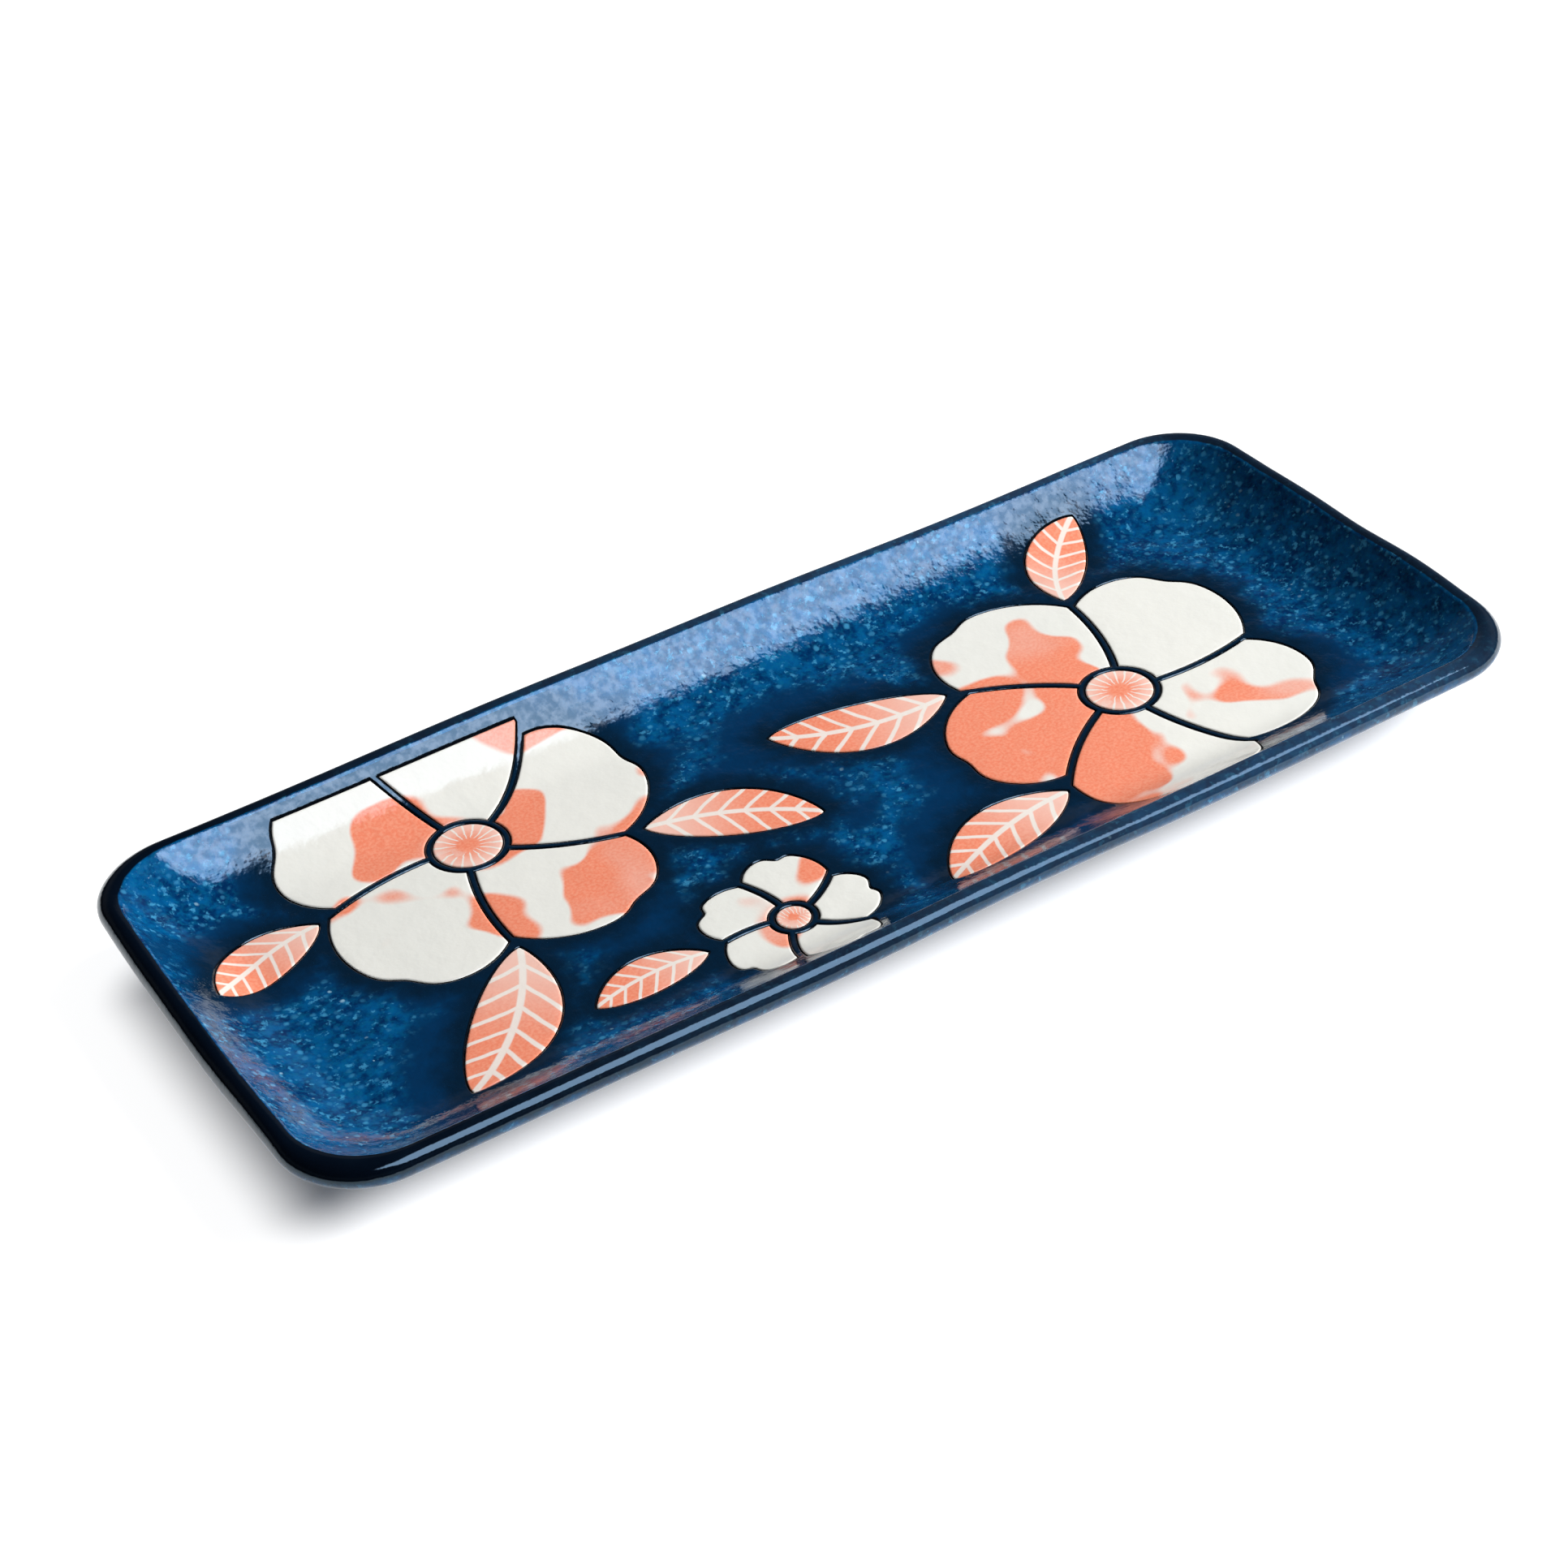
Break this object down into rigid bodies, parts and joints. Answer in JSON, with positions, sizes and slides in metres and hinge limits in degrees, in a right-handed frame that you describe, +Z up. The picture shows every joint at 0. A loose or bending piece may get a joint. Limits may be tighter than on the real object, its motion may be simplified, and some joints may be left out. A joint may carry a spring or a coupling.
{
  "type": "sushi plate",
  "caption": "Long rectangular stoneware plate with an upturned rounded lip, a shallow well and a low foot ring, deep blue glaze and inlaid white blossoms, for serving sushi.",
  "frame": {"origin": "middle of the plate's bounding box, on the plane that the foot ring stands on", "axes": "+X along the plate's length, towards the end with the uncropped large blossom; +Y across its width, towards the long side where the other large blossom runs up the wall; +Z up, out of the well"},
  "size_m": [0.305, 0.128, 0.022],
  "materials": {
    "clay": "bare fired stoneware, matt and slightly gritty",
    "blue_glaze": "glossy deep blue reactive glaze with fine lighter speckle",
    "white_glaze": "glossy warm white glaze with soft coral blotches",
    "coral_glaze": "glossy pale coral glaze with white veins"
  },
  "bodies": {
    "root": {"base_glaze": "blue_glaze", "blue_glaze": "blue_glaze", "clay_slab": "clay", "foot_ring": "clay", "left_heart": "coral_glaze", "left_inner_leaf": "coral_glaze", "left_lower_leaf": "coral_glaze", "left_outer_leaf": "coral_glaze", "left_petal_1": "white_glaze", "left_petal_2": "white_glaze", "left_petal_3": "white_glaze", "left_petal_4": "white_glaze", "left_petal_5": "white_glaze", "right_heart": "coral_glaze", "right_inner_leaf": "coral_glaze", "right_lower_leaf": "coral_glaze", "right_outer_leaf": "coral_glaze", "right_petal_1": "white_glaze", "right_petal_2": "white_glaze", "right_petal_3": "white_glaze", "right_petal_4": "white_glaze", "right_petal_5": "white_glaze", "small_heart": "coral_glaze", "small_outer_leaf": "coral_glaze", "small_petal_1": "white_glaze", "small_petal_2": "white_glaze", "small_petal_3": "white_glaze", "small_petal_4": "white_glaze", "small_petal_5": "white_glaze"}
  },
  "joints": []
}
